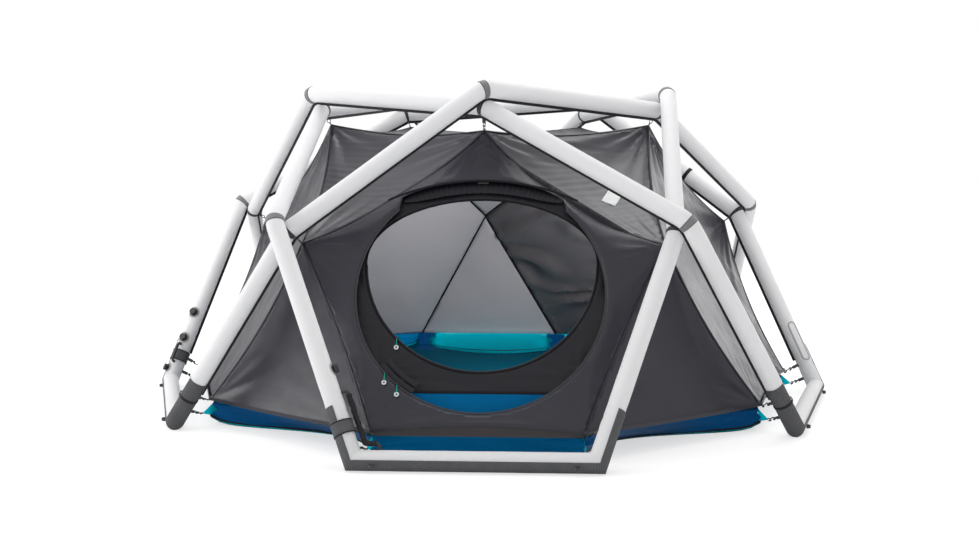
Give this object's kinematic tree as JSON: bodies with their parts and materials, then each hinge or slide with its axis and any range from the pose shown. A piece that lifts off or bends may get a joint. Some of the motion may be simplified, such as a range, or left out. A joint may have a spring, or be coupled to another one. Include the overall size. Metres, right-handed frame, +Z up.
{
  "type": "inflatable tent",
  "caption": "Free-standing dome tent: woven air-tube arches carry a dark fly sheet over an inner tent with a blue tub floor, a round zipped door and turning valve knobs.",
  "frame": {"origin": "on the ground under the middle of the dome", "axes": "+Z up, the door faces -Y, +X to the right of someone who faces the door"},
  "size_m": [3.0365, 2.9035, 1.3693],
  "materials": {
    "tube_fabric": "white coated woven tube cover",
    "boot_fabric": "dark grey abrasion cloth with a fine dot weave",
    "strap_webbing": "grey and black webbing",
    "fly_fabric": "anthracite coated ripstop",
    "canopy_fabric": "light grey breathable cloth",
    "floor_fabric": "blue coated floor cloth",
    "panel_fabric": "black inner wall cloth",
    "zip_nylon": "black coil",
    "black_plastic": "moulded, slight sheen",
    "pull_plastic": "off-white bead on teal cord",
    "stow_fabric": "rolled door cloth in its pocket",
    "hose_rubber": "black rubber hose"
  },
  "bodies": {
    "tent": {"arch_1_tube": "tube_fabric", "arch_2_tube": "tube_fabric", "arch_3_tube": "tube_fabric", "arch_4_tube": "tube_fabric", "arch_5_tube": "tube_fabric", "back_left_boot": "boot_fabric", "back_left_ground_tube": "tube_fabric", "back_right_boot": "boot_fabric", "back_right_ground_tube": "tube_fabric", "canopy_back_left_wall": "canopy_fabric", "canopy_back_right_wall": "canopy_fabric", "canopy_left_wall": "canopy_fabric", "canopy_right_wall": "canopy_fabric", "canopy_roof": "canopy_fabric", "deflation_valve_base": "black_plastic", "door_sill": "floor_fabric", "door_zip": "zip_nylon", "fly_back_left_wall": "fly_fabric", "fly_back_right_wall": "fly_fabric", "fly_front_wall": "fly_fabric", "fly_left_wall": "fly_fabric", "fly_right_wall": "fly_fabric", "fly_roof": "fly_fabric", "front_boot": "boot_fabric", "front_ground_tube": "tube_fabric", "front_link_hose": "hose_rubber", "front_lock_valve_base": "black_plastic", "ground_sheet": "floor_fabric", "inflation_valve_base": "black_plastic", "inner_front_panel": "panel_fabric", "inner_zip": "zip_nylon", "left_boot": "boot_fabric", "left_ground_tube": "tube_fabric", "peak_lashing_1": "strap_webbing", "peak_lashing_2": "strap_webbing", "peak_lashing_3": "strap_webbing", "peak_lashing_4": "strap_webbing", "peak_lashing_5": "strap_webbing", "right_boot": "boot_fabric", "right_ground_tube": "tube_fabric", "side_lashing_1": "strap_webbing", "side_lashing_2": "strap_webbing", "side_lashing_3": "strap_webbing", "side_lashing_4": "strap_webbing", "side_lashing_5": "strap_webbing", "side_link_hose": "hose_rubber", "side_lock_valve_base": "black_plastic", "stow_toggle": "black_plastic", "stowed_door": "stow_fabric", "tub_wall": "floor_fabric"},
    "deflation_knob": {"deflation_valve_knob": "black_plastic"},
    "lower_pull": {"door_zip_lower_pull": "pull_plastic"},
    "lower_slider": {"door_zip_lower_slider": "black_plastic"},
    "upper_pull": {"door_zip_upper_pull": "pull_plastic"},
    "upper_slider": {"door_zip_upper_slider": "black_plastic"},
    "front_lock_knob": {"front_lock_valve_knob": "black_plastic"},
    "inflation_knob": {"inflation_valve_knob": "black_plastic"},
    "inner_pull": {"inner_zip_pull": "pull_plastic"},
    "inner_slider": {"inner_zip_slider": "black_plastic"},
    "side_lock_knob": {"side_lock_valve_knob": "black_plastic"}
  },
  "joints": [
    {"name": "upper_slider_run", "type": "hinge", "parent": "tent", "child": "upper_slider", "pos_m": [0, -1.0207, 0.575], "axis": [0, -0.876, 0.4823], "range_deg": [-88, 0]},
    {"name": "lower_slider_run", "type": "hinge", "parent": "tent", "child": "lower_slider", "pos_m": [0, -1.0207, 0.575], "axis": [0, -0.876, 0.4823], "range_deg": [0, 174]},
    {"name": "inner_slider_run", "type": "hinge", "parent": "tent", "child": "inner_slider", "pos_m": [0, -0.91653, 0.67777], "axis": [0, -0.8784, 0.478], "range_deg": [-40, 129]},
    {"name": "upper_pull_swing", "type": "hinge", "parent": "upper_slider", "child": "upper_pull", "pos_m": [-0.341, -1.18028, 0.29987], "axis": [-1, 0, 0], "range_deg": [0, 150]},
    {"name": "lower_pull_swing", "type": "hinge", "parent": "lower_slider", "child": "lower_pull", "pos_m": [-0.29342, -1.20168, 0.261], "axis": [-1, 0, 0], "range_deg": [0, 150]},
    {"name": "inner_pull_swing", "type": "hinge", "parent": "inner_slider", "child": "inner_pull", "pos_m": [-0.3085, -1.07022, 0.41019], "axis": [-1, 0, 0], "range_deg": [0, 150]},
    {"name": "inflation_knob_turn", "type": "hinge", "parent": "tent", "child": "inflation_knob", "pos_m": [-1.39364, 0.1166, 0.31756], "axis": [-0.1419, -0.8507, 0.5061], "range_deg": [0, 90]},
    {"name": "deflation_knob_turn", "type": "hinge", "parent": "tent", "child": "deflation_knob", "pos_m": [-1.42669, 0.05644, 0.20716], "axis": [-0.1419, -0.8507, 0.5061], "range_deg": [0, 90]},
    {"name": "side_lock_knob_turn", "type": "hinge", "parent": "tent", "child": "side_lock_knob", "pos_m": [-1.4661, -0.01529, 0.07553], "axis": [-0.8138, -0.372, 0.4464], "range_deg": [0, 90]},
    {"name": "front_lock_knob_turn", "type": "hinge", "parent": "tent", "child": "front_lock_knob", "pos_m": [-0.54156, -1.2894, 0.31756], "axis": [0.9324, 0.1492, 0.3293], "range_deg": [0, 90]}
  ]
}
